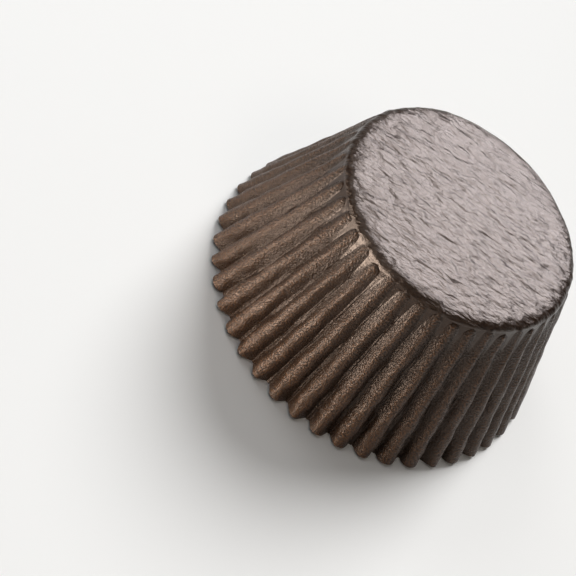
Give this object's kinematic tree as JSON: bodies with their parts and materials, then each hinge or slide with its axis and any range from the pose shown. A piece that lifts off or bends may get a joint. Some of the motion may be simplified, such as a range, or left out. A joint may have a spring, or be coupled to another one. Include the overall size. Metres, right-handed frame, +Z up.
{
  "type": "cupcake liner",
  "caption": "Round paper baking cup with a flat base and a flared, finely pleated wall, standing mouth down.",
  "frame": {"origin": "centre of the mouth's circle, on the surface that the liner stands on", "axes": "+Z up along the axis, from the mouth to the base's outer face; one ridge of the wall points along +X"},
  "size_m": [0.0764, 0.0764, 0.0342],
  "materials": {
    "greaseproof_paper": "calendered greaseproof paper, dyed dark brown, with a satin sheen and fine fibre specks"
  },
  "bodies": {
    "root": {"liner": "greaseproof_paper"}
  },
  "joints": []
}
